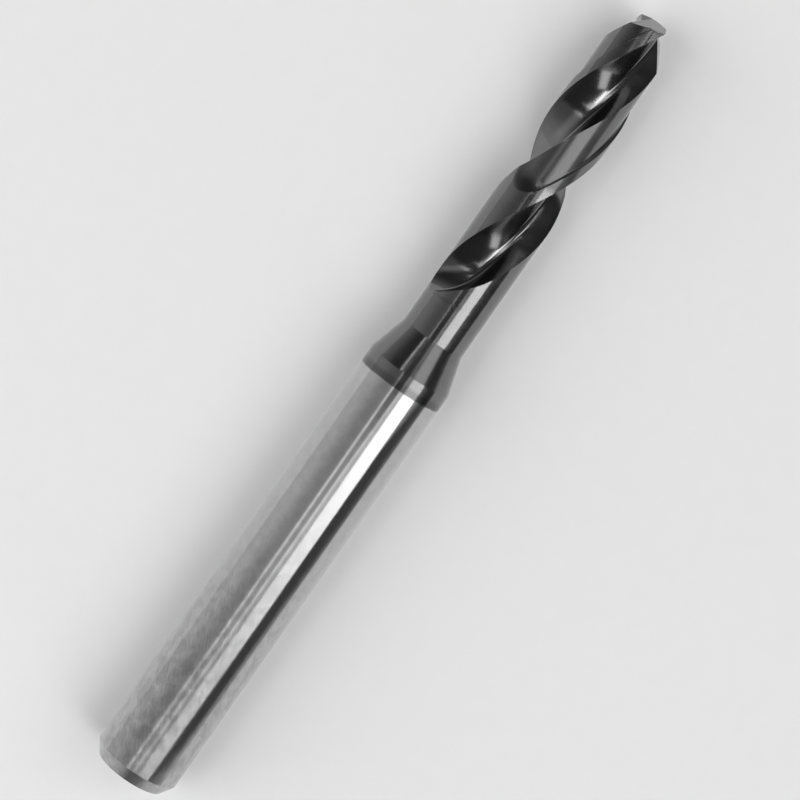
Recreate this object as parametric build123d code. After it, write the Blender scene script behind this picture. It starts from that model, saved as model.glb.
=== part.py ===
from build123d import *
import os
from math import asin, atan, cos, degrees, pi, radians, sin, sqrt, tan

# Short twist drill ground from one solid carbide blank.
# Millimetres. The drill stands on the flat end of its shank, +Z runs up its axis to the point,
# and the photographed side faces -Y.

# Shank
shank_diameter = 6.0
shank_length = 32.5
end_chamfer_width = 0.55
end_chamfer_length = 0.88

# Cone from shank to drill, and overall reach
cone_length = 2.6
drill_diameter = 4.5
overall_length = 60.0

# Flutes, right-hand helix
flute_count = 2
flute_length = 22.1
flute_lead = 24.6
web_thickness = 1.35
land_angle = 82.5
flute_root_radius = 0.9
heel_wall_angle = 120.0
run_out_wheel_radius = 7.0

# Land behind each cutting margin, ground lower over the front of the drill only
margin_width = 0.72
body_clearance = 0.2
clearance_length = 12.5
clearance_ramp = 0.8

# Point
point_angle = 148.0
corner_azimuth = -62.5
primary_relief_angle = 12.0
secondary_relief_angle = 26.0
primary_flank_width = 0.95

# Notch that thins the web on each side of the chisel edge and takes off the heel beside it
chisel_half_width = 0.16
thinning_azimuth = 78.0
thinning_slope = 34.5
thinning_lip_side = 52.0
thinning_heel_side = 83.0

# Steps of the twisted surface, and how far cutting shapes reach past the blank
twist_step = 12.0
run_out_steps = 9
overcut = 1.0

drill_radius = drill_diameter / 2
shank_radius = shank_diameter / 2
half_web = web_thickness / 2
corner_lead = degrees(asin(half_web / drill_radius))
flute_opening = 360.0 / flute_count - land_angle
point_slope = 90.0 - point_angle / 2
lip_height = overall_length + half_web * tan(radians(primary_relief_angle))
corner_height = lip_height - sqrt(drill_radius**2 - half_web**2) * tan(radians(point_slope))
cut_reach = 3 * drill_radius


def polar(radius, angle):
    """Point across the drill from a radius and an angle in degrees."""
    return Vector(radius * cos(radians(angle)), radius * sin(radians(angle)))


def lip_frame(height):
    """Turn about the axis that lays X along the first lip as it runs down its flute."""
    azimuth = corner_azimuth - corner_lead + 360.0 * (height - corner_height) / flute_lead
    return Pos(0, 0, height) * Rot(0, 0, azimuth)


def make_blank():
    """Chamfered shank, cone and drill body, turned about the axis."""
    half_section = Polyline(
        (0, 0),
        (shank_radius - end_chamfer_width, 0),
        (shank_radius, end_chamfer_length),
        (shank_radius, shank_length),
        (drill_radius, shank_length + cone_length),
        (drill_radius, overall_length + overcut),
        (0, overall_length + overcut),
        close=True,
    )
    return revolve(Plane.XZ * make_face(half_section), Axis.Z)


def make_flute_outline(lift):
    """Open space of one flute: lip side along X, round root, then the heel wall."""
    heel = polar(drill_radius, corner_lead + flute_opening)
    wall = polar(1, heel_wall_angle)
    root_y = half_web + flute_root_radius
    root_x = heel.X + (flute_root_radius + (root_y - heel.Y) * wall.X) / wall.Y
    root_start = Vector(root_x, half_web)
    root_end = Vector(root_x, root_y) + Vector(-wall.Y, wall.X) * flute_root_radius
    lip_out = Vector(cut_reach, half_web)
    heel_out = root_end + wall * cut_reach
    outline = Wire(
        [
            Line(lip_out, root_start),
            TangentArc(root_start, root_end, tangent=(-1, 0)),
            Line(root_end, heel_out),
            Line(heel_out, lip_out),
        ]
    )
    way_out = polar(lift, corner_lead + flute_opening / 2)
    return Pos(way_out.X, way_out.Y) * outline


def make_flute_cutter():
    """Flute of full depth up to the point, rising along the wheel's curve at the shank side."""
    depth = drill_radius - half_web
    along_axis = cos(atan(pi * drill_diameter / flute_lead))
    wheel_run = sqrt(run_out_wheel_radius**2 - (run_out_wheel_radius - depth) ** 2)
    full_start = overall_length - flute_length + wheel_run * along_axis
    full_rise = overall_length + overcut - full_start
    full_steps = round(360.0 * full_rise / flute_lead / twist_step)

    sections = []
    for step in range(-1, run_out_steps):
        travel = wheel_run * (1 - step / run_out_steps)
        lift = run_out_wheel_radius - sqrt(run_out_wheel_radius**2 - travel**2)
        sections.append(lip_frame(full_start - travel * along_axis) * make_flute_outline(lift))
    for step in range(full_steps + 1):
        height = full_start + full_rise * step / full_steps
        sections.append(lip_frame(height) * make_flute_outline(0))
    return Solid.make_loft(sections)


def make_clearance_cutter():
    """Ring round the land behind its margin, twisted with the flutes and ramped at its end."""
    start = overall_length - clearance_length - clearance_ramp
    rise = overall_length + overcut - start
    low_radius = drill_radius - body_clearance
    rim = drill_radius + overcut
    rim_drop = clearance_ramp * overcut / body_clearance
    ring_section = Polyline(
        (low_radius, start + clearance_ramp),
        (low_radius, start + rise),
        (rim, start + rise),
        (rim, start - rim_drop),
        close=True,
    )
    ring = revolve(Plane.XZ * make_face(ring_section), Axis.Z)

    margin_angle = degrees(margin_width / drill_radius)
    behind_heel = corner_lead - land_angle - flute_opening / 4
    behind_margin = corner_lead - margin_angle
    band = make_face(
        Polyline(
            polar(low_radius / 2, behind_heel),
            polar(cut_reach, behind_heel),
            polar(cut_reach, behind_margin),
            polar(low_radius / 2, behind_margin),
            close=True,
        )
    )
    low_end = start - rim_drop
    twisted = Solid.extrude_linear_with_rotation(
        (lip_frame(low_end) * band).face(),
        center=(0, 0, low_end),
        normal=(0, 0, start + rise - low_end),
        angle=360.0 * (start + rise - low_end) / flute_lead,
    )
    return ring & twisted


def flank_waste(step_back, relief_angle):
    """Everything above one flat of the flank, which starts this far behind the lip."""
    line_y = half_web - step_back
    line_z = lip_height - step_back * tan(radians(primary_relief_angle))
    slope = radians(point_slope)
    relief = radians(relief_angle)
    along_lip = Vector(cos(slope), 0, -sin(slope))
    up_relief = Vector(0, cos(relief), sin(relief))
    flat = Plane(origin=(0, line_y, line_z), x_dir=along_lip, z_dir=along_lip.cross(up_relief))
    size = 4 * drill_diameter
    return flat * Box(size, size, size, align=(Align.CENTER, Align.CENTER, Align.MIN))


def make_thinning_cutter():
    """V-shaped notch that runs from beside the chisel edge down into the flute."""
    ahead = polar(1, thinning_azimuth)
    across = Vector(-ahead.Y, ahead.X)
    slope = radians(thinning_slope)
    down = ahead * sin(slope) - Vector(0, 0, cos(slope))
    start = ahead * chisel_half_width + Vector(0, 0, overall_length)
    heel_side = polar(cut_reach, 90.0 - thinning_heel_side)
    lip_side = polar(cut_reach, 90.0 + thinning_lip_side)
    notch = Polyline((0, 0), heel_side, lip_side, close=True)
    face = Plane(origin=start, x_dir=across, z_dir=down) * make_face(notch)
    return extrude(face, drill_diameter, both=True)


def make_drill():
    """The blank with its point ground, lands lowered, flutes cut and web thinned."""
    to_lip = Rot(0, 0, corner_azimuth - corner_lead)
    cuts = [
        to_lip * flank_waste(0, primary_relief_angle),
        to_lip * flank_waste(primary_flank_width, secondary_relief_angle),
        make_clearance_cutter(),
        make_flute_cutter(),
        to_lip * make_thinning_cutter(),
    ]
    drill = make_blank()
    for cut in cuts:
        for flute in range(flute_count):
            drill -= Rot(0, 0, flute * 360.0 / flute_count) * cut
    return drill


os.makedirs("parts", exist_ok=True)
drill = make_drill()
export_step(drill, "parts/drill.step")
print("drill", round(drill.volume, 3), "mm3")
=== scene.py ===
import math

import bpy
from mathutils import Matrix, Vector


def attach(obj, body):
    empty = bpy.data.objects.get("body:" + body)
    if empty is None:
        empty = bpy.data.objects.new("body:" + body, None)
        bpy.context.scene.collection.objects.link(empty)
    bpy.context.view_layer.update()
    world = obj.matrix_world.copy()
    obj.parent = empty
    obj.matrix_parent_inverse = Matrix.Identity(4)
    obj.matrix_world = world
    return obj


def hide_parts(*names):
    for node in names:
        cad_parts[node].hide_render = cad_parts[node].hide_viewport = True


bl_info = {
    "name": "Ground carbide drill",
    "version": (1, 0, 0),
    "blender": (4, 5, 0),
    "location": "3D View > Sidebar > Drill",
    "description": "A coated twist drill lying on a sheet of pale paper",
    "category": "Add Mesh",
}

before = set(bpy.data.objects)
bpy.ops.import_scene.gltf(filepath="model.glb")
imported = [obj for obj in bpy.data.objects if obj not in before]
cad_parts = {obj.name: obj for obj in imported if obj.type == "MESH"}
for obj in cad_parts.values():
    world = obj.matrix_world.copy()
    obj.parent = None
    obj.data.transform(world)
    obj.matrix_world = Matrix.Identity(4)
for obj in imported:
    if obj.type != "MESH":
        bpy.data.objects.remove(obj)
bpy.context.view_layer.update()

FLUTES = 2

# How finely the twisted surface is divided, round the drill and along it
LAND_COLUMNS = 30
STEP_COLUMNS = 4
MARGIN_COLUMNS = 8
FLUTE_COLUMNS = 62
CURVE_POINTS = 48
HALVINGS = 30
TWIST_RING = 0.00011
CORNER_RING = 0.00003
RINGS_ABOVE = 4

# Narrowest land, in widths of the step, fewest points that make a flute, and the angle that stands
# for a flute before it opens
NARROWEST_LAND = 3
FEWEST_POINTS = 3
CLOSED_FLUTE = 0.0005

# How far the flute's curve goes in radii of the drill, the wheel in lengths of its run-out, and the
# cutters in diameters of the drill
FLUTE_REACH = 1.6
WHEEL_OVERRUN = 1.02
CUTTER_REACH = 3

# Points this close count as one, and faces that meet flatter than this look smooth
MERGE_GAP = 1e-8
CUT_GAP = 1e-9
SMOOTH_ANGLE = math.radians(24)

# Surfaces ground round the axis spread a reflection along the axis
TURNED_SPREAD = 1.1
CONE_SPREAD = 0.4
LAND_SPREAD = 0.8
TURNED_ONE_WAY = 0.9
QUARTER_TURN = 0.25

# Textures of the metal: repeats over a metre, across and along the drill
RAGGED_SCALE = (900, 900, 900)
MOTTLE_SCALE = (1500, 1500, 1500)
RINGS_SCALE = (260, 260, 9000)
CLOUD_SCALE = (420, 420, 210)
SMUDGE_SCALE = (1300, 1300, 1000)
SMUDGE_RANGE = (0.40, 0.62)

# Slanting streaks: repeats across and along a streak, each for a metre round and up the shank
STREAK_ACROSS = (8000, 4600)
STREAK_ALONG = (500, -880)

# How much each texture changes the shade
MOTTLE_SHADE = 0.28
SMUDGE_SHADE = 0.16
STREAK_SHADE = 0.44
HANDLED_SHADE = 0.20

# How much each texture changes the roughness
CLOUD_ROUGHNESS = 0.08
HANDLED_ROUGHNESS = 0.03
SMUDGE_ROUGHNESS = 0.02
COATING_ROUGHNESS = 0.06

# Relief of the metal: its depth, and what each texture adds to it
METAL_DEPTH = 0.0000016
RINGS_RELIEF = 0.6
BARE_RELIEF = 0.5
COATING_RELIEF = 1.5

# How far each change of finish spreads, in metres
RAGGED_WIDTH = 0.00012
COATING_FADE = 0.00007
BAND_FADE = 0.0002
CONE_FADE = 0.00002
LAND_FADE_IN = 0.001
LAND_FADE_OUT = 0.002
LAND_EDGE_FADE = 0.00003


def size(name, description, default):
    """A length in metres."""
    return bpy.props.FloatProperty(
        name=name,
        description=description,
        default=default,
        unit="LENGTH",
        subtype="DISTANCE",
        precision=5,
    )


def turn(name, description, default):
    """An angle, given in degrees and kept in radians."""
    return bpy.props.FloatProperty(
        name=name, description=description, default=math.radians(default), subtype="ANGLE"
    )


def tone(name, description, default):
    """A neutral shade."""
    return bpy.props.FloatVectorProperty(
        name=name,
        description=description,
        default=(default,) * 3,
        subtype="COLOR",
        min=0.0,
        max=1.0,
        size=3,
    )


def share(name, description, default, top=1.0):
    """A plain number from nothing up to a top."""
    return bpy.props.FloatProperty(
        name=name, description=description, default=default, min=0.0, max=top, subtype="FACTOR"
    )


class DrillForm(bpy.types.PropertyGroup):
    """Sizes of the ground drill."""

    shank_diameter: size("Shank diameter", "Plain shank", 0.006)
    shank_length: size("Shank length", "Up to the cone", 0.0325)
    chamfer_width: size("Chamfer width", "End chamfer, across", 0.00055)
    chamfer_length: size("Chamfer length", "End chamfer, along", 0.00088)
    cone_length: size("Cone length", "From shank to drill", 0.0026)
    drill_diameter: size("Drill diameter", "Over the margins", 0.0045)
    overall_length: size("Overall length", "To the chisel edge", 0.060)
    flute_length: size("Flute length", "With the run-out", 0.0223)
    flute_lead: size("Lead", "Rise of one full turn", 0.0246)
    web: size("Web", "Thickness left between the flutes", 0.00135)
    root_radius: size("Root radius", "Round at the bottom of a flute", 0.0005)
    wheel_radius: size("Wheel radius", "Curve of the run-out", 0.004)
    margin_width: size("Margin", "Width of the cutting margin", 0.00072)
    step_width: size("Step", "Width of the slope behind the margin", 0.00012)
    clearance: size("Clearance", "Land below the margin", 0.0002)
    clearance_length: size("Clearance length", "Cleared stretch from the point", 0.0125)
    clearance_ramp: size("Ramp", "Slope at the end of the cleared stretch", 0.0012)
    ramp_rise: size("Ramp rise", "Later end of the cleared stretch at a land's edge", 0.0012)
    land_angle: turn("Land", "Width of a land", 82.5)
    heel_wall: turn("Heel wall", "Direction of the heel side of a flute", 120.0)
    point_angle: turn("Point angle", "Included angle of the lips", 148.0)
    corner: turn("Corner", "Direction of the first cutting corner", -62.5)
    relief: turn("Relief", "Relief of the first flat", 12.0)
    second_relief: turn("Second relief", "Relief of the second flat", 26.0)
    first_flat: size("First flat", "Width behind the lip", 0.00095)
    chisel: size("Chisel", "Half the chisel edge", 0.00016)
    notch_direction: turn("Notch direction", "From the lip", 78.0)
    notch_slope: turn("Notch slope", "From the axis", 34.5)
    notch_lip_side: turn("Notch lip side", "Opening towards the lip", 52.0)
    notch_heel_side: turn("Notch heel side", "Opening towards the heel", 83.0)


class DrillFinish(bpy.types.PropertyGroup):
    """Shades and roughness of the metal, and where each finish begins and ends."""

    coating: tone("Coating", "Dark hard coating", 0.205)
    bare: tone("Bare carbide", "Ground shank", 0.53)
    band: tone("Edge band", "Thin end of the coating", 0.145)
    coating_end: size("Coating end", "Height where the coating stops", 0.03134)
    band_width: size("Band width", "Darker edge of the coating", 0.0005)
    cone_start: size("Cone start", "Rougher grinding from here", 0.0325)
    cone_end: size("Cone end", "Rougher grinding up to here", 0.0351)
    land_start: size("Land start", "Rougher lowered lands from here", 0.0468)
    land_end: size("Land end", "Rougher lowered lands up to here", 0.055)
    land_radius: size("Land radius", "Ground round the axis from here outwards", 0.00204)
    handled_top: size("Handled top", "The shank grows duller below this height", 0.024)
    handled_full: size("Handled full", "Dullest from here down", 0.006)
    coating_roughness: share("Coating roughness", "Spread of reflections", 0.16)
    bare_roughness: share("Bare roughness", "Spread of reflections", 0.17)


class Studio(bpy.types.PropertyGroup):
    """Shade of the paper, and brightness of the room and the lamps."""

    paper: tone("Paper", "Sheet under the drill", 0.87)
    room: share("Room", "Darkest surroundings seen in the metal", 0.06)
    window: share("Window", "Brightness of the main light", 3.0, 20.0)
    fill: share("Fill", "Brightness of the pale surroundings", 1.0, 20.0)
    glow: share("Glow", "Light on the paper alone", 4.0, 20.0)


class Value:
    """A number in a shader, so that plain arithmetic adds Math nodes."""

    def __init__(self, sheet, socket):
        self.sheet = sheet
        self.socket = socket

    def __add__(self, other):
        return self.sheet.maths("ADD", self, other)

    def __radd__(self, other):
        return self.sheet.maths("ADD", other, self)

    def __sub__(self, other):
        return self.sheet.maths("SUBTRACT", self, other)

    def __rsub__(self, other):
        return self.sheet.maths("SUBTRACT", other, self)

    def __mul__(self, other):
        return self.sheet.maths("MULTIPLY", self, other)

    def __rmul__(self, other):
        return self.sheet.maths("MULTIPLY", other, self)


class Sheet:
    """The node tree of one material, or of the world."""

    def __init__(self, owner):
        self.owner = owner
        self.owner.use_nodes = True
        self.tree = self.owner.node_tree
        self.tree.nodes.clear()

    def node(self, kind, settings=None, inputs=None):
        """Adds a node, sets it up, then fills or links its sockets."""
        made = self.tree.nodes.new(kind)
        for name, value in (settings or {}).items():
            setattr(made, name, value)
        for name, value in (inputs or {}).items():
            socket = made.inputs[name]
            if isinstance(value, Value):
                self.tree.links.new(value.socket, socket)
            elif isinstance(value, bpy.types.NodeSocket):
                self.tree.links.new(value, socket)
            else:
                socket.default_value = value
        return made

    def maths(self, operation, first, second=0.0):
        made = self.node("ShaderNodeMath", {"operation": operation}, {0: first, 1: second})
        return Value(self, made.outputs[0])

    def place(self):
        """Object coordinates, in metres."""
        return self.node("ShaderNodeTexCoord").outputs["Object"]

    def ray(self, kind):
        """One for rays of a kind, and nothing for all others."""
        return Value(self, self.node("ShaderNodeLightPath").outputs[kind])

    def parts(self, vector):
        made = self.node("ShaderNodeSeparateXYZ", None, {0: vector})
        return [Value(self, made.outputs[axis]) for axis in range(3)]

    def joined(self, x, y):
        return self.node("ShaderNodeCombineXYZ", None, {0: x, 1: y}).outputs[0]

    def scaled(self, vector, factors):
        settings = {"operation": "MULTIPLY"}
        return self.node("ShaderNodeVectorMath", settings, {0: vector, 1: factors}).outputs[0]

    def noise(self, vector, detail=3.0, roughness=0.5, distortion=0.0):
        inputs = {"Vector": vector, "Scale": 1.0, "Detail": detail}
        inputs.update({"Roughness": roughness, "Distortion": distortion})
        return Value(self, self.node("ShaderNodeTexNoise", None, inputs).outputs[0])

    def slope(self, value, low, high):
        """Nothing at low, one at high."""
        settings = {"interpolation_type": "SMOOTHSTEP"}
        inputs = {"Value": value, "From Min": low, "From Max": high}
        return Value(self, self.node("ShaderNodeMapRange", settings, inputs).outputs[0])

    def blend(self, amount, first, second, mode="MIX"):
        """Mixes two colours."""
        settings = {"data_type": "RGBA", "blend_type": mode}
        made = self.node("ShaderNodeMix", settings, {0: amount, 6: first, 7: second})
        return made.outputs[2]

    def grey(self, value):
        """A neutral colour from a number."""
        return self.node("ShaderNodeCombineColor", None, {0: value, 1: value, 2: value}).outputs[0]

    def bump(self, height, depth):
        inputs = {"Strength": 1.0, "Distance": depth, "Height": height}
        return self.node("ShaderNodeBump", None, inputs).outputs[0]

    def surface(self, inputs):
        return self.node("ShaderNodeBsdfPrincipled", None, inputs).outputs[0]

    def glow(self, colour, strength=1.0):
        inputs = {"Color": colour, "Strength": strength}
        return self.node("ShaderNodeEmission", None, inputs).outputs[0]

    def either(self, amount, first, second):
        """Mixes two shaders."""
        inputs = {0: amount, 1: first, 2: second}
        return self.node("ShaderNodeMixShader", None, inputs).outputs[0]

    def finish(self, shader, output="ShaderNodeOutputMaterial"):
        """Sends a shader to the output."""
        self.node(output, None, {"Surface": shader})
        return self.owner


def solid(colour):
    """A colour as a socket takes it."""
    return (*colour, 1.0)


def clear_selection():
    if bpy.context.object and bpy.context.object.mode != "OBJECT":
        bpy.ops.object.mode_set(mode="OBJECT")
    bpy.ops.object.select_all(action="DESELECT")


def polar(radius, angle):
    """Point across the drill from a radius and an angle."""
    return Vector((math.cos(angle), math.sin(angle))) * radius


def drill_outline(form, height):
    """Radius of the turned blank at a height."""
    shank = form.shank_diameter / 2
    drill = form.drill_diameter / 2
    if height < form.chamfer_length:
        return shank - form.chamfer_width * (1 - height / form.chamfer_length)
    along = (height - form.shank_length) / form.cone_length
    return shank + (drill - shank) * min(max(along, 0.0), 1.0)


class FluteShape:
    """Section of the fluted blank at any height, from the sizes."""

    def __init__(self, form):
        self.form = form
        self.radius = form.drill_diameter / 2
        self.half_web = form.web / 2
        self.lead_angle = math.asin(self.half_web / self.radius)
        self.opening = 2 * math.pi / FLUTES - form.land_angle
        self.lip_height = form.overall_length + self.half_web * math.tan(form.relief)
        lip_reach = math.sqrt(self.radius**2 - self.half_web**2)
        self.corner_height = self.lip_height - lip_reach / math.tan(form.point_angle / 2)
        helix = math.atan(math.pi * form.drill_diameter / form.flute_lead)
        depth = self.radius - self.half_web
        self.along_axis = math.cos(helix)
        self.wheel_run = math.sqrt(form.wheel_radius**2 - (form.wheel_radius - depth) ** 2)
        self.start = form.overall_length - form.flute_length
        self.full_start = self.start + self.wheel_run * self.along_axis
        self.middle = self.lead_angle + self.opening / 2
        self.curve = self.full_curve()
        self.ramp_start = form.overall_length - form.clearance_length - form.clearance_ramp

    def lip_direction(self, flute):
        """Direction of a lip at the height of its corner."""
        return self.form.corner - self.lead_angle + 2 * math.pi * flute / FLUTES

    def lip_azimuth(self, height):
        """Direction in which the first lip would lie at a height."""
        turned = 2 * math.pi * (height - self.corner_height) / self.form.flute_lead
        return self.lip_direction(0) + turned

    def full_curve(self):
        """Lip side, round root and heel wall of a flute, from outside to outside."""
        form = self.form
        heel = polar(self.radius, self.lead_angle + self.opening)
        wall = polar(1, form.heel_wall)
        root_y = self.half_web + form.root_radius
        root_x = heel.x + (form.root_radius + (root_y - heel.y) * wall.x) / wall.y
        reach = FLUTE_REACH * self.radius
        steps = [index / CURVE_POINTS for index in range(CURVE_POINTS + 1)]
        points = [Vector((reach + (root_x - reach) * step, self.half_web)) for step in steps]
        swing = math.pi - form.heel_wall
        for step in steps[1:]:
            angle = -math.pi / 2 - swing * step
            points.append(Vector((root_x, root_y)) + polar(form.root_radius, angle))
        root_end = points[-1]
        points += [root_end + wall * reach * step for step in steps[1:]]
        return points

    def lift(self, height):
        """How far the wheel has climbed out of the flute."""
        if height >= self.full_start:
            return 0.0
        travel = (self.full_start - height) / self.along_axis
        travel = min(travel, self.wheel_run * WHEEL_OVERRUN)
        return self.form.wheel_radius - math.sqrt(self.form.wheel_radius**2 - travel**2)

    def land_radius(self, aside, height):
        """Radius of the land behind the margin, at an angle from the land's middle."""
        form = self.form
        start = self.ramp_start + form.ramp_rise * (aside / form.land_angle * 2) ** 2
        way = min(max((height - start) / form.clearance_ramp, 0.0), 1.0)
        return self.radius - form.clearance * (1 - (1 - way) ** 2)

    def flute_points(self, height):
        """The flute's curve inside the blank, cut at the corner and at the heel."""
        out = polar(self.lift(height), self.middle)
        curve = [point + out for point in self.curve]
        inside = [index for index, point in enumerate(curve) if point.length < self.radius]
        if len(inside) < FEWEST_POINTS:
            return None
        first, last = inside[0], inside[-1]
        start = meet_circle(curve[first], curve[first - 1], self.radius)
        heel_radius = self.land_radius(self.form.land_angle / 2, height)
        while last > first and curve[last].length > heel_radius:
            last -= 1
        end = meet_circle(curve[last], curve[last + 1], heel_radius)
        return spread([start] + curve[first : last + 1] + [end], FLUTE_COLUMNS)

    def closed_flute(self):
        """The same count of points where there is no flute yet."""
        parts = [index / (FLUTE_COLUMNS - 1) - 0.5 for index in range(FLUTE_COLUMNS)]
        return [polar(self.radius, self.middle + CLOSED_FLUTE * part) for part in parts]

    def ring(self, height):
        """All points round the drill at a height."""
        azimuth = self.lip_azimuth(max(height, self.start))
        flute = self.flute_points(height) if height > self.start else None
        flute = flute or self.closed_flute()
        corner_angle = math.atan2(flute[0].y, flute[0].x)
        heel_angle = math.atan2(flute[-1].y, flute[-1].x) - math.pi
        margin = self.form.margin_width / self.radius
        step = self.form.step_width / self.radius
        step_end = max(corner_angle - margin, heel_angle + NARROWEST_LAND * step)
        step_start = step_end - step
        land_middle = self.lead_angle - self.form.land_angle / 2
        ring = []
        for column in range(LAND_COLUMNS):
            angle = heel_angle + (step_start - heel_angle) * column / (LAND_COLUMNS - 1)
            ring.append((self.land_radius(angle - land_middle, height), angle))
        low = ring[-1][0]
        for column in range(1, STEP_COLUMNS):
            part = column / STEP_COLUMNS
            radius = low + (self.radius - low) * (1 - math.sqrt(1 - part**2))
            ring.append((radius, step_start + step * part))
        for column in range(MARGIN_COLUMNS):
            part = column / (MARGIN_COLUMNS - 1)
            ring.append((self.radius, step_end + (corner_angle - step_end) * part))
        points = [polar(radius, angle) for radius, angle in ring]
        points += flute[1:-1]
        scale = drill_outline(self.form, height) / self.radius
        turned = Matrix.Rotation(azimuth, 2) @ Matrix.Scale(scale, 2)
        half = [turned @ point for point in points]
        return half + [-point for point in half]

    def heights(self):
        """Where the rings lie, close together along the flutes and beside each corner."""
        form = self.form
        cone_end = form.shank_length + form.cone_length
        corners = (0.0, form.chamfer_length, form.shank_length, cone_end)
        plain = [corner + side * CORNER_RING for corner in corners for side in (-1, 0, 1)]
        top = form.overall_length + RINGS_ABOVE * TWIST_RING
        count = math.ceil((top - self.start) / TWIST_RING)
        twist = [self.start + (top - self.start) * step / count for step in range(-1, count + 1)]
        return plain[1:] + twist


def meet_circle(inner, outer, radius):
    """Where the line between two points crosses a circle."""
    low, high = 0.0, 1.0
    for _ in range(HALVINGS):
        middle = (low + high) / 2
        if inner.lerp(outer, middle).length < radius:
            low = middle
        else:
            high = middle
    return inner.lerp(outer, low)


def spread(points, count):
    """The same line with its points evenly spaced."""
    lengths = [0.0]
    for before, after in zip(points, points[1:]):
        lengths.append(lengths[-1] + (after - before).length)
    even = []
    place = 0
    for index in range(count):
        wanted = lengths[-1] * index / (count - 1)
        while place < len(points) - 2 and lengths[place + 1] < wanted:
            place += 1
        gap = lengths[place + 1] - lengths[place]
        part = (wanted - lengths[place]) / gap if gap else 0.0
        even.append(points[place].lerp(points[place + 1], part))
    return even


def place_rings(piece, rings, heights):
    """Moves the points of a grid onto the rings, and lays its UV map out in metres.

    No node reads the map, but the metal takes the direction of its one-way reflections from it.
    """
    around = len(rings[0])
    across = []
    for ring in rings:
        row = [0.0]
        for index in range(around):
            row.append(row[-1] + (ring[(index + 1) % around] - ring[index]).length)
        across.append(row)
    for level, (ring, height) in enumerate(zip(rings, heights)):
        for index in range(around + 1):
            point = ring[index % around]
            vertex = piece.data.vertices[level * (around + 1) + index]
            vertex.co = (point.x, point.y, height)
    layer = piece.data.uv_layers.active
    layer.name = "ground"
    for loop in piece.data.loops:
        level, index = divmod(loop.vertex_index, around + 1)
        layer.data[loop.index].uv = (across[level][index], heights[level])


def flank_planes(form, shape):
    """Point and outward normal of each ground flat of the point."""
    planes = []
    fall = math.pi / 2 - form.point_angle / 2
    for step_back, relief in ((0.0, form.relief), (form.first_flat, form.second_relief)):
        drop = step_back * math.tan(form.relief)
        line = Vector((0, shape.half_web - step_back, shape.lip_height - drop))
        along = Vector((math.cos(fall), 0, -math.sin(fall)))
        normal = along.cross(Vector((0, math.cos(relief), math.sin(relief))))
        for flute in range(FLUTES):
            turned = Matrix.Rotation(shape.lip_direction(flute), 3, "Z")
            planes.append((turned @ line, turned @ normal))
    return planes


def add_notch_cutter(form, shape, flute):
    """Wedge that thins the web beside the chisel edge and takes off the heel behind it."""
    azimuth = shape.lip_direction(flute) + form.notch_direction
    ahead = Vector((math.cos(azimuth), math.sin(azimuth), 0))
    aside = Vector((-ahead.y, ahead.x, 0))
    down = ahead * math.sin(form.notch_slope) - Vector((0, 0, math.cos(form.notch_slope)))
    outward = aside.cross(down)
    if outward.z < 0:
        outward = -outward
    start = ahead * form.chisel + Vector((0, 0, form.overall_length))
    far = CUTTER_REACH * form.drill_diameter
    heel_side = aside * math.sin(form.notch_heel_side) + outward * math.cos(form.notch_heel_side)
    lip_side = outward * math.cos(form.notch_lip_side) - aside * math.sin(form.notch_lip_side)
    corners = [Vector((0, 0, 0)), heel_side * far, lip_side * far]
    clear_selection()
    bpy.ops.mesh.primitive_cylinder_add(vertices=3, radius=far, depth=2 * far)
    cutter = bpy.context.object
    cutter.data.uv_layers.active.name = "ground"
    for vertex in cutter.data.vertices:
        corner = corners[vertex.index // 2]
        vertex.co = start + corner + down * math.copysign(far, vertex.co.z)
    recalculate(cutter)
    return cutter


def recalculate(piece):
    """Turns all faces of a piece outwards."""
    clear_selection()
    piece.select_set(True)
    bpy.context.view_layer.objects.active = piece
    bpy.ops.object.mode_set(mode="EDIT")
    bpy.ops.mesh.select_all(action="SELECT")
    bpy.ops.mesh.normals_make_consistent(inside=False)
    bpy.ops.object.mode_set(mode="OBJECT")


def subtract(piece, cutter):
    """Cuts one closed mesh from another and removes the cutter."""
    clear_selection()
    piece.select_set(True)
    bpy.context.view_layer.objects.active = piece
    cut = piece.modifiers.new("cut", "BOOLEAN")
    cut.operation = "DIFFERENCE"
    cut.solver = "EXACT"
    cut.object = cutter
    bpy.ops.object.modifier_apply(modifier=cut.name)
    bpy.data.objects.remove(cutter, do_unlink=True)


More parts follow.
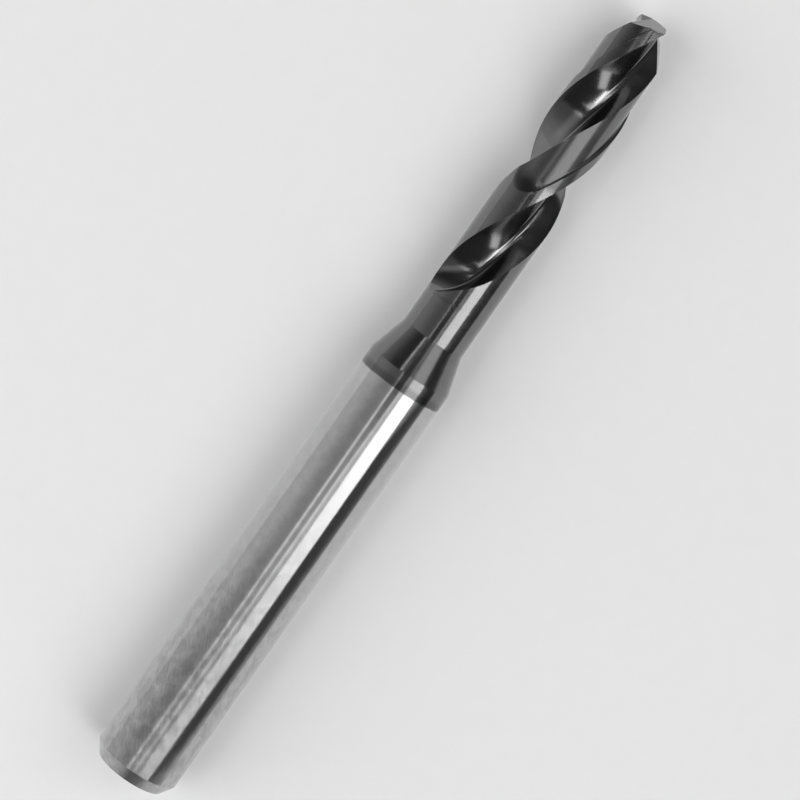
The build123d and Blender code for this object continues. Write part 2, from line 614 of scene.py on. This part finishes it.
def drill_metal(form, finish):
    """Dark coating over ground carbide, bare below the coating's uneven end."""
    sheet = Sheet(bpy.data.materials.new("coated_carbide"))
    place = sheet.place()
    x, y, height = sheet.parts(place)
    ragged = sheet.noise(sheet.scaled(place, RAGGED_SCALE), detail=2)
    edge = height + (ragged - 0.5) * RAGGED_WIDTH
    coating_end = finish.coating_end
    coated = sheet.slope(edge, coating_end - COATING_FADE, coating_end + COATING_FADE)
    band_end = coating_end + finish.band_width
    full = sheet.slope(edge, band_end - BAND_FADE, band_end + BAND_FADE)

    mottle = sheet.noise(sheet.scaled(place, MOTTLE_SCALE), detail=4, roughness=0.6)
    rings = sheet.noise(sheet.scaled(place, RINGS_SCALE), detail=3, roughness=0.6)
    cloud = sheet.noise(sheet.scaled(place, CLOUD_SCALE), detail=4, roughness=0.6)

    # Smudges and slanting streaks, only where the shank is handled
    handled = sheet.slope(height, finish.handled_top, finish.handled_full) * (1 - coated)
    smudge = sheet.scaled(place, SMUDGE_SCALE)
    smudge = sheet.noise(smudge, detail=3, roughness=0.6, distortion=0.4)
    smudge = sheet.slope(smudge, *SMUDGE_RANGE) * handled
    around = form.shank_diameter / 2 * sheet.maths("ARCTAN2", x, 0.0 - y)
    streak = sheet.joined(
        around * STREAK_ACROSS[0] + height * STREAK_ACROSS[1],
        around * STREAK_ALONG[0] + height * STREAK_ALONG[1],
    )
    streak = sheet.noise(streak, detail=2) * handled

    marks = 1 - SMUDGE_SHADE * smudge - STREAK_SHADE * streak + HANDLED_SHADE * handled
    shade = (1 - MOTTLE_SHADE / 2 + MOTTLE_SHADE * mottle) * marks
    coating = sheet.blend(full, solid(finish.band), solid(finish.coating))
    colour = sheet.blend(coated, solid(finish.bare), coating)
    colour = sheet.blend(1.0, colour, sheet.grey(shade), "MULTIPLY")

    bare_rough = finish.bare_roughness - CLOUD_ROUGHNESS / 2 + CLOUD_ROUGHNESS * cloud
    bare_rough = bare_rough + HANDLED_ROUGHNESS * handled + SMUDGE_ROUGHNESS * smudge
    coating_rough = finish.coating_roughness - COATING_ROUGHNESS / 2 + COATING_ROUGHNESS * mottle
    rough = bare_rough + coated * (coating_rough - bare_rough)
    relief = rings * RINGS_RELIEF + mottle * (BARE_RELIEF + COATING_RELIEF * coated)
    bump = sheet.bump(relief, METAL_DEPTH)
    inputs = {"Base Color": colour, "Metallic": 1.0, "Roughness": rough, "Normal": bump}
    smooth = sheet.surface(inputs)

    above = sheet.slope(height, finish.cone_start - CONE_FADE, finish.cone_start + CONE_FADE)
    below = sheet.slope(height, finish.cone_end + CONE_FADE, finish.cone_end - CONE_FADE)
    lowered = sheet.slope(height, finish.land_start, finish.land_start + LAND_FADE_IN)
    lowered = lowered * sheet.slope(height, finish.land_end, finish.land_end - LAND_FADE_OUT)
    wider = TURNED_SPREAD + CONE_SPREAD * above * below + LAND_SPREAD * lowered
    inputs["Roughness"] = rough * wider
    inputs["Anisotropic"] = TURNED_ONE_WAY
    inputs["Anisotropic Rotation"] = QUARTER_TURN
    turned = sheet.surface(inputs)
    radius = sheet.maths("SQRT", x * x + y * y)
    outside = sheet.slope(radius, finish.land_radius - LAND_EDGE_FADE, finish.land_radius)
    return sheet.finish(sheet.either(outside, smooth, turned))


# Sheet of paper: its size, the repeats of its tooth over a metre, and the tooth's shade and depth
PAPER_SIZE = 0.6
TOOTH_SCALE = (700, 700, 700)
TOOTH_SHADE = 0.03
TOOTH_DEPTH = 0.00002
PAPER_ROUGHNESS = 0.9

# Share of the paper that the metal sees without the drill's shadow, and how bright that share is
UNSHADED_SHARE = 0.6
UNSHADED_LIGHT = 0.85


def paper_stock(studio):
    """Pale paper with a faint tooth, clear from behind."""
    sheet = Sheet(bpy.data.materials.new("pale_paper"))
    tooth = sheet.noise(sheet.scaled(sheet.place(), TOOTH_SCALE), detail=4, roughness=0.6)
    shade = 1 - TOOTH_SHADE / 2 + TOOTH_SHADE * tooth
    colour = sheet.blend(1.0, solid(studio.paper), sheet.grey(shade), "MULTIPLY")
    bump = sheet.bump(tooth, TOOTH_DEPTH)
    lit = sheet.surface({"Base Color": colour, "Roughness": PAPER_ROUGHNESS, "Normal": bump})
    pale = sheet.glow(solid(studio.paper), UNSHADED_LIGHT)
    front = sheet.either(sheet.ray("Is Glossy Ray") * UNSHADED_SHARE, lit, pale)
    back = sheet.node("ShaderNodeBsdfTransparent").outputs[0]
    behind = sheet.node("ShaderNodeNewGeometry").outputs["Backfacing"]
    return sheet.finish(sheet.either(behind, front, back))


# Surroundings, as seen from the middle of the drill
ROOM_MIDDLE = Vector((0, 0, 0.035))
ROOM_RADIUS = 4.0
FAR_DISTANCE = 3.0
GLOW_DISTANCE = 0.5

# Pale stretches of the room: brightness, then the edges that bound it, each from where nothing is
# left to where it is full, in degrees round the drill from its front, or up from its middle
ROOM_STRETCHES = (
    # Left, and paler further round
    (0.16, (("round", -6, -12), ("up", 3, -3))),
    (0.36, (("round", -6, -12), ("round", -22, -85), ("up", 3, -3))),
    # High on the left
    (0.3, (("round", -45, -90), ("up", -3, 3))),
    # Low in front, and low on the left
    (0.9, (("round", 14, 9), ("round", -16, -10), ("up", -7, -11), ("up", -26, -18))),
    (0.26, (("round", -8, -14), ("round", -100, -50), ("up", -5, -9), ("up", -24, -18))),
    # Far round on the right
    (0.2, (("round", 82, 96),)),
)

# Lamps: left, right, lower and upper edge and tilt in degrees, and brightness as a share of the
# main one
WINDOW_PANELS = (
    ("window", (21.5, 54, -3, 5), 0, 1.0),
    ("window_foot", (20, 53.5, -6.2, -3), 0, 2.6),
    ("window_low", (22, 53, -9.6, -6.2), 0, 0.38),
    ("window_left", (8, 20, 5, 9), 0, 0.3),
    ("slant_left", (-18, 20, 8, 14), 13, 0.75),
    ("slant_right", (51, 92, -28.5, -15.5), 21, 0.58),
    ("strip", (5, 20.5, -13.5, -6), 0, 0.5),
    ("cone_light", (20, 54, 22, 42), 0, 0.58),
    ("thin_low", (-11, -8.2, -14.5, -4), -33, 0.55),
    ("thin_high", (-23.5, -19.5, 22, 42), 0, 1.2),
)

# Lamps for the paper alone: edges in degrees, and brightness as a share of the glow
GLOW_PANELS = (
    ("paper_left", (-80, -10, -50, 5), 0.44),
    ("paper_right", (10, 60, -20, 30), 0.28),
)

# Cards beside the drill: height of the lower edge with its ends in degrees, the same for the upper
# edge, distance from the axis, and brightness added to the room's
CARDS = (
    ("flag_right", (0.058, 14, 64), (0.090, 14, 64), 0.03, 0.0),
    ("flag_left", (0.0575, -36, -16), (0.090, -36, -16), 0.03, 0.0),
    ("flag_low", (0.020, -8, 8), (0.045, -8, 8), 0.05, 0.0),
    ("flag_shank", (-0.010, 45.5, 81), (0.023, 54, 81), 0.03, 0.0),
    ("pale_card", (0.0502, 8, 22), (0.0552, 8, 22), 0.025, 3.2),
)


def room_light(studio):
    """Dim surroundings with paler stretches, seen only in the metal."""
    sheet = Sheet(bpy.data.materials.new("dim_room"))
    x, y, z = sheet.parts(sheet.place())
    level = sheet.maths("SQRT", x * x + y * y)
    angles = {
        "round": sheet.maths("ARCTAN2", x, 0.0 - y),
        "up": sheet.maths("ARCTAN2", z - ROOM_MIDDLE.z, level),
    }
    light = studio.room
    for brightness, edges in ROOM_STRETCHES:
        stretch = studio.fill * brightness
        for way, nothing, full in edges:
            edge = sheet.slope(angles[way], math.radians(nothing), math.radians(full))
            stretch = stretch * edge
        light = light + stretch
    return sheet.finish(sheet.glow(sheet.grey(light)))


class MESH_OT_ground_drill(bpy.types.Operator):
    """Models the drill, from its chamfered shank to its ground point"""

    bl_idname = "mesh.ground_drill"
    bl_label = "Ground drill"

    def execute(self, context):
        form = context.scene.drill_form
        shape = FluteShape(form)
        heights = shape.heights()
        rings = [shape.ring(height) for height in heights]
        clear_selection()
        bpy.ops.mesh.primitive_grid_add(
            x_subdivisions=len(rings[0]), y_subdivisions=len(rings) - 1, size=1.0, calc_uvs=True
        )
        drill = context.object
        drill.name = "ground_drill"
        drill.data.name = drill.name
        place_rings(drill, rings, heights)
        bpy.ops.object.mode_set(mode="EDIT")
        bpy.ops.mesh.select_all(action="SELECT")
        bpy.ops.mesh.remove_doubles(threshold=MERGE_GAP)
        bpy.ops.mesh.select_all(action="DESELECT")
        bpy.ops.mesh.select_mode(type="EDGE")
        bpy.ops.mesh.select_non_manifold()
        bpy.ops.mesh.edge_face_add()
        bpy.ops.mesh.select_all(action="SELECT")
        bpy.ops.mesh.normals_make_consistent(inside=False)
        for point, normal in flank_planes(form, shape):
            bpy.ops.mesh.select_all(action="SELECT")
            bpy.ops.mesh.bisect(
                plane_co=point,
                plane_no=normal,
                use_fill=True,
                clear_outer=True,
                threshold=CUT_GAP,
            )
        bpy.ops.object.mode_set(mode="OBJECT")
        for flute in range(FLUTES):
            subtract(drill, add_notch_cutter(form, shape, flute))
        clear_selection()
        drill.select_set(True)
        bpy.ops.object.shade_smooth_by_angle(angle=SMOOTH_ANGLE)
        drill.data.materials.clear()
        drill.data.materials.append(drill_metal(form, context.scene.drill_finish))
        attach(drill, "root")
        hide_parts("drill")
        return {"FINISHED"}


# Where the camera stands: lens for a picture 800 pixels wide, and the drill's lean in it
PICTURE = 800
FOCAL_PIXELS = 2876.0
SENSOR = 36.0
NEAREST = 0.001
CAMERA_TILT = math.radians(6.2)
CAMERA_LEAN = math.radians(34.95)
CAMERA_DISTANCE = 0.1872
AIM = Vector((0.00055, 0, 0.03057))


def add_camera(context):
    """Looks down on the lying drill, with the drill's axis leaning across the picture."""
    view = Vector((0, math.cos(CAMERA_TILT), -math.sin(CAMERA_TILT)))
    along = Vector((0, math.sin(CAMERA_TILT), math.cos(CAMERA_TILT)))
    side = Vector((1, 0, 0))
    right = along * math.sin(CAMERA_LEAN) + side * math.cos(CAMERA_LEAN)
    up = along * math.cos(CAMERA_LEAN) - side * math.sin(CAMERA_LEAN)
    lens = bpy.data.cameras.new("camera")
    lens.sensor_width = SENSOR
    lens.lens = FOCAL_PIXELS / PICTURE * SENSOR
    lens.clip_start = NEAREST
    camera = bpy.data.objects.new("camera", lens)
    context.scene.collection.objects.link(camera)
    turned = Matrix((right, up, -view)).transposed().to_4x4()
    camera.matrix_world = Matrix.Translation(AIM - view * CAMERA_DISTANCE) @ turned
    context.scene.camera = camera


def add_lamp(context, name, middle, facing, along, length, width, brightness):
    """Rectangular lamp with an even brightness."""
    light = bpy.data.lights.new(name, "AREA")
    light.shape = "RECTANGLE"
    light.size = length
    light.size_y = width
    light.energy = brightness * math.pi * length * width
    lamp = bpy.data.objects.new(name, light)
    context.scene.collection.objects.link(lamp)
    back = -facing.normalized()
    first = (along - back * along.dot(back)).normalized()
    turned = Matrix((first, back.cross(first), back)).transposed().to_4x4()
    lamp.matrix_world = Matrix.Translation(middle) @ turned
    return lamp


def add_panel(context, name, sides, brightness, distance, tilt=0):
    """Lamp that fills a stretch of the surroundings: left, right, lower and upper edge in degrees.

    A tilt lowers its right end.
    """
    left, right, low, high = (math.radians(side) for side in sides)
    across = (left + right) / 2
    rise = (low + high) / 2
    level = math.cos(rise)
    outward = Vector((math.sin(across) * level, -math.cos(across) * level, math.sin(rise)))
    length = 2 * distance * math.tan((right - left) / 2) * level
    width = 2 * distance * math.tan((high - low) / 2)
    tilted = Matrix.Rotation(math.radians(tilt), 3, -outward)
    along = tilted @ Vector((math.cos(across), math.sin(across), 0))
    middle = ROOM_MIDDLE + outward * distance
    return add_lamp(context, name, middle, -outward, along, length, width, brightness)


def add_room(context, studio):
    """Large ball round everything, for the metal to reflect."""
    clear_selection()
    bpy.ops.mesh.primitive_uv_sphere_add(segments=96, ring_count=48, radius=ROOM_RADIUS)
    room = context.object
    room.name = "dim_room"
    for vertex in room.data.vertices:
        vertex.co += ROOM_MIDDLE
    room.data.materials.append(room_light(studio))
    hide_from_camera(room)


def add_world(context, studio):
    """As pale as the paper where it is seen or reflected, and dim in the light it gives."""
    sheet = Sheet(bpy.data.worlds.new("room"))
    seen = sheet.maths("MAXIMUM", sheet.ray("Is Camera Ray"), sheet.ray("Is Glossy Ray"))
    colour = sheet.blend(seen, solid((studio.room,) * 3), solid(studio.paper))
    backdrop = sheet.node("ShaderNodeBackground", None, {"Color": colour, "Strength": 1.0})
    context.scene.world = sheet.finish(backdrop.outputs[0], "ShaderNodeOutputWorld")


def add_card(studio, name, lower, upper, distance, brightness):
    """Card that hides the lamps behind it from a stretch of the drill."""
    clear_selection()
    bpy.ops.mesh.primitive_plane_add()
    card = bpy.context.object
    card.name = name
    for vertex in card.data.vertices:
        height, left, right = upper if vertex.co.y > 0 else lower
        around = math.radians(right if vertex.co.x > 0 else left)
        vertex.co = Vector((math.sin(around) * distance, -math.cos(around) * distance, height))
    sheet = Sheet(bpy.data.materials.new(name))
    glow = sheet.glow(solid((studio.room + studio.fill * brightness,) * 3))
    card.data.materials.append(sheet.finish(glow))
    hide_from_camera(card)


def hide_from_camera(thing):
    """Leaves a thing of the stage to be seen in the metal only."""
    thing.visible_camera = False
    thing.visible_diffuse = False
    thing.visible_shadow = False


class SCENE_OT_lay_out_studio(bpy.types.Operator):
    """Adds the sheet of paper, the camera, the room, the lamps and the cards"""

    bl_idname = "scene.lay_out_studio"
    bl_label = "Lay out studio"

    def execute(self, context):
        studio = context.scene.drill_studio
        clear_selection()
        below = context.scene.drill_form.shank_diameter / 2
        bpy.ops.mesh.primitive_plane_add(
            size=PAPER_SIZE, location=(0, below, AIM.z), rotation=(math.pi / 2, 0, 0)
        )
        paper = context.object
        paper.name = "paper"
        paper.data.materials.append(paper_stock(studio))
        add_camera(context)
        add_room(context, studio)
        for name, sides, tilt, strength in WINDOW_PANELS:
            add_panel(context, name, sides, studio.window * strength, FAR_DISTANCE, tilt)
        for name, sides, strength in GLOW_PANELS:
            glow = add_panel(context, name, sides, studio.glow * strength, GLOW_DISTANCE)
            glow.visible_glossy = False
        for name, lower, upper, distance, brightness in CARDS:
            add_card(studio, name, lower, upper, distance, brightness)
        add_world(context, studio)
        context.scene.view_settings.view_transform = "Standard"
        return {"FINISHED"}


class VIEW3D_PT_drill(bpy.types.Panel):
    """Sizes, finish and stage of the drill"""

    bl_label = "Drill"
    bl_space_type = "VIEW_3D"
    bl_region_type = "UI"
    bl_category = "Drill"

    def draw(self, context):
        scene = context.scene
        for group in (scene.drill_form, scene.drill_finish, scene.drill_studio):
            box = self.layout.box()
            for name in group.__annotations__:
                box.prop(group, name)
        self.layout.operator(MESH_OT_ground_drill.bl_idname)
        self.layout.operator(SCENE_OT_lay_out_studio.bl_idname)


CLASSES = (
    DrillForm,
    DrillFinish,
    Studio,
    MESH_OT_ground_drill,
    SCENE_OT_lay_out_studio,
    VIEW3D_PT_drill,
)


def register():
    for entry in CLASSES:
        bpy.utils.register_class(entry)
    bpy.types.Scene.drill_form = bpy.props.PointerProperty(type=DrillForm)
    bpy.types.Scene.drill_finish = bpy.props.PointerProperty(type=DrillFinish)
    bpy.types.Scene.drill_studio = bpy.props.PointerProperty(type=Studio)


def unregister():
    del bpy.types.Scene.drill_studio
    del bpy.types.Scene.drill_finish
    del bpy.types.Scene.drill_form
    for entry in reversed(CLASSES):
        bpy.utils.unregister_class(entry)


def main():
    register()
    bpy.ops.mesh.ground_drill()
    bpy.ops.scene.lay_out_studio()


if __name__ == "__main__":
    main()
